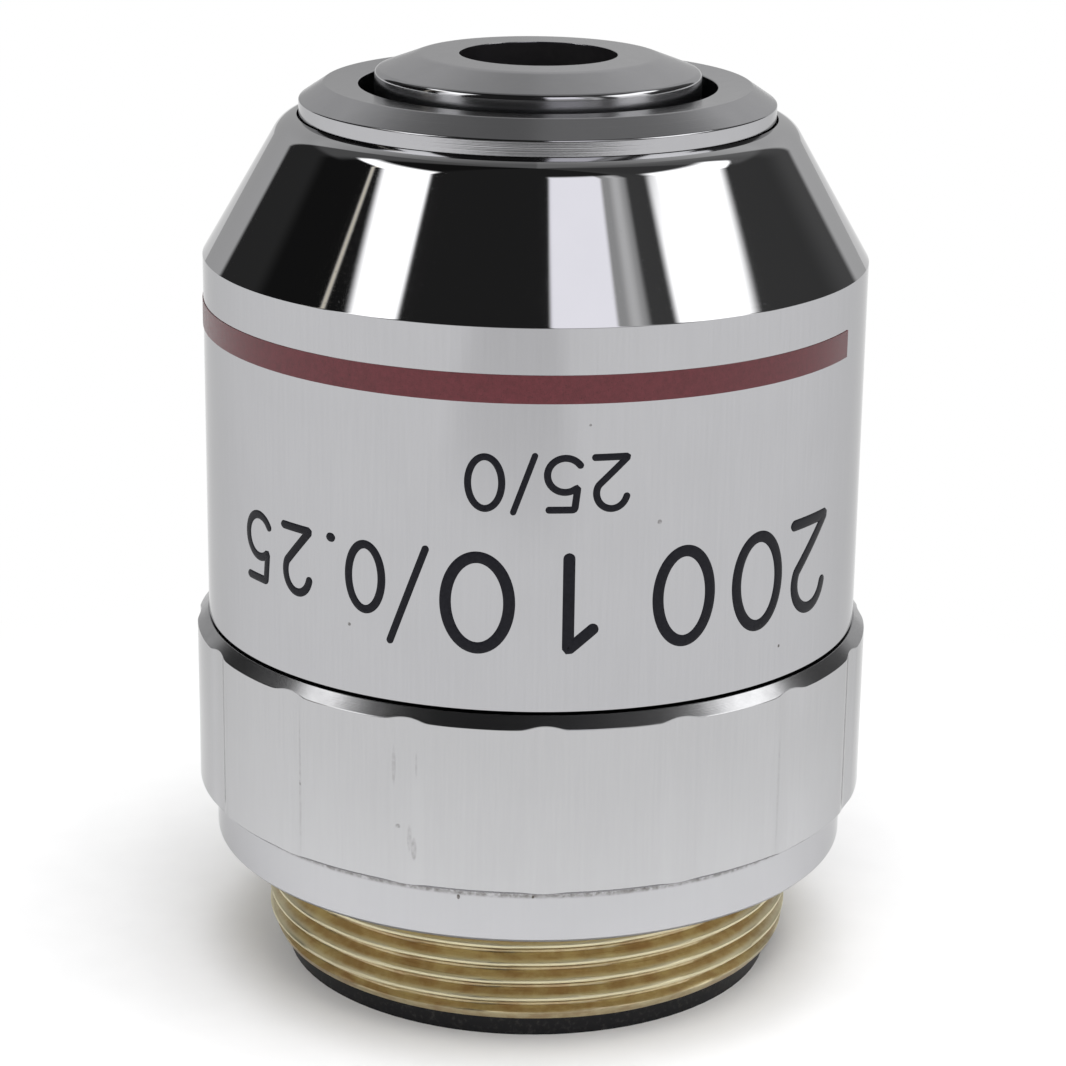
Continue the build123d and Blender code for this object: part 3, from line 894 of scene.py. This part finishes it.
right_lamp = air.maths("MAXIMUM", fade * panel(57, 83, 2, 0, 43), panel(60, 115, 4, right_low, 50))
cool = panel(6.5, 33.5, 1.2, 0, 55) * (0.30 + 0.70 * air.step(rise, 5.0, 35.0))
warm = panel(-84.8, -83.2, 0.5, 0, 45)
tail = panel(33.5, 46, 1.6, 0, 55) * (0.40 + 0.28 * panel(38.5, 43, 2, 0, 55))
lamp_glow, warm_glow, cool_glow = 2.2, 0.85, 1.38
light = wall * (1 - left_lamp) + shade + lamp_glow * left_lamp + lamp_glow * right_lamp
light = light + warm_glow * warm + cool_glow * cool + tail
tint = air.mix(cool > 0.4, (1, 1, 1, 1), (0.95, 0.94, 1.0, 1))
tint = air.mix(warm, tint, (1.0, 0.93, 0.78, 1))
sight = air.node("ShaderNodeLightPath")
to_camera = Tone(air, sight.socket.node.outputs["Is Camera Ray"])
dim = air.node("ShaderNodeBackground", inputs={0: tint, 1: light})
bright = air.node("ShaderNodeBackground", inputs={0: (1, 1, 1, 1), 1: 1.0})
sky = air.node("ShaderNodeMixShader", inputs={0: to_camera, 1: dim, 2: bright})
air.node("ShaderNodeOutputWorld", inputs={0: sky})

# Lamps. A broad soft lamp overhead and a weaker one from the camera's side light the card and the ink. They
# are left out of reflections, so that the chrome shows only the room.
for name, spot, size, power in (
    ("overhead", (0.05, -0.10, 0.70), 0.60, 4.6),
    ("fill", (-0.15, -0.60, 0.25), 0.40, 2.0),
):
    lamp = bpy.data.lights.new(name, "AREA")
    lamp.shape = "DISK"
    lamp.size = size
    lamp.energy = power
    holder = bpy.data.objects.new(name, lamp)
    holder.location = spot
    holder.rotation_euler = (Vector((0, 0, 0.015)) - Vector(spot)).to_track_quat("-Z", "Y").to_euler()
    holder.visible_glossy = False
    bpy.context.scene.collection.objects.link(holder)

# Camera, at the photograph's place: 113 mm in front and 52 mm up, looking down 17.4 degrees, with a roll of
# 0.8 degrees.
eye = bpy.data.cameras.new("eye")
eye.sensor_width = 36.0
eye.lens = 104.587
eye.shift_x = 0.00101
eye.clip_start = 0.01
eye.clip_end = 20.0
camera = bpy.data.objects.new("eye", eye)
camera.matrix_world = (
    Matrix.Translation((0, -0.113301, 0.052047))
    @ Matrix.Rotation(pi / 2 - 0.303886, 4, "X")
    @ Matrix.Rotation(0.0136638, 4, "Z")
)
bpy.context.scene.collection.objects.link(camera)
bpy.context.scene.camera = camera
bpy.context.scene.view_settings.view_transform = "Standard"
